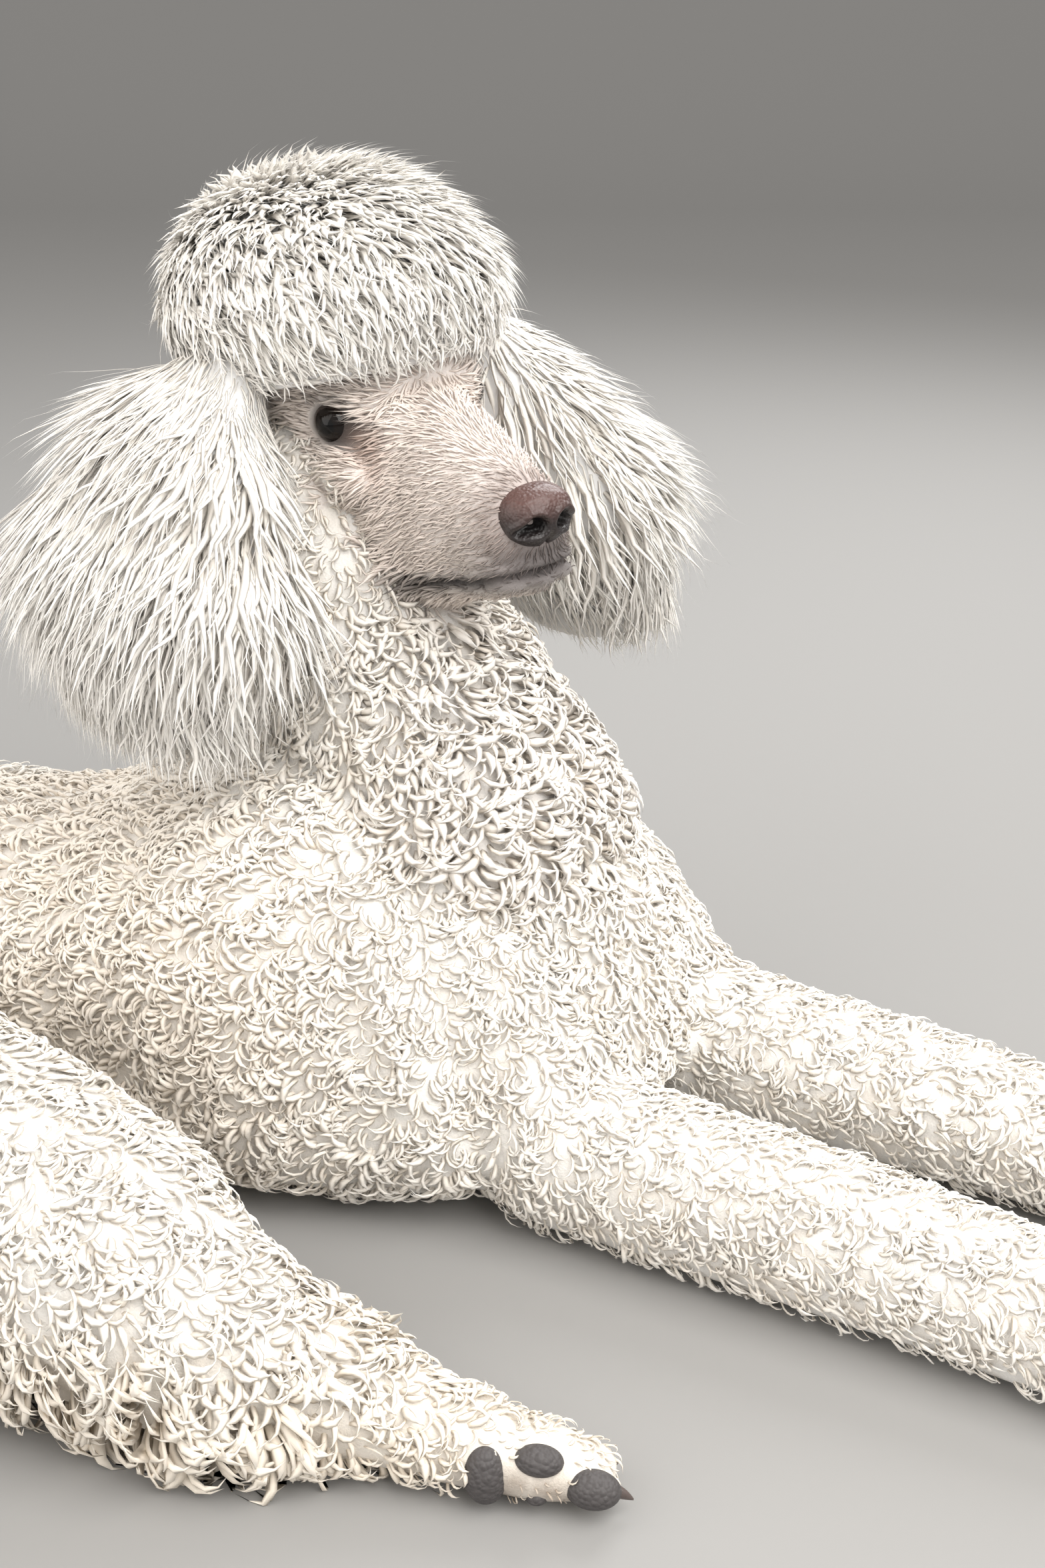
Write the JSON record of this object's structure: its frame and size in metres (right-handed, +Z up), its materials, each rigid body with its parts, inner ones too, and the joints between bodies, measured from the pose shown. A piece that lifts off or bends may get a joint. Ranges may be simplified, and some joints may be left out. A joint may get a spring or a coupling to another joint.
{
  "type": "standard poodle",
  "caption": "Life-size still model of a white standard poodle lying on its brisket with forelegs stretched out, hips rolled to the left and head turned.",
  "frame": {"origin": "on the floor, under the middle of the model's box", "axes": "+X the way the forelegs point, +Y to the dog's left, +Z up"},
  "size_m": [0.8748, 0.6498, 0.4988],
  "materials": {
    "curly_coat": "dense soft white curls, matt, with cream shadow between them",
    "long_hair": "brushed-out long white wavy hair, soft sheen",
    "short_hair": "short white hair over grey-pink skin, darker at the lips",
    "nose_leather": "moist pebbled brown-black nose leather",
    "eye": "wet glossy near-black eye"
  },
  "bodies": {
    "root": {"nose": "nose_leather", "eye_right": "eye", "eye_left": "eye", "head": "short_hair", "jaw": "short_hair", "ear_right": "long_hair", "ear_left": "long_hair", "topknot": "long_hair", "tail_pom": "long_hair", "upper_arm_right": "curly_coat", "forearm_right": "curly_coat", "forepaw_right": "curly_coat", "upper_arm_left": "curly_coat", "forearm_left": "curly_coat", "forepaw_left": "curly_coat", "thigh_right": "curly_coat", "shank_right": "curly_coat", "hind_foot_right": "curly_coat", "hind_foot_left": "curly_coat", "thigh_left": "curly_coat", "tail_root": "curly_coat", "tail_end": "curly_coat", "neck": "curly_coat", "chest": "curly_coat", "loin": "curly_coat", "rump": "curly_coat"}
  },
  "joints": []
}
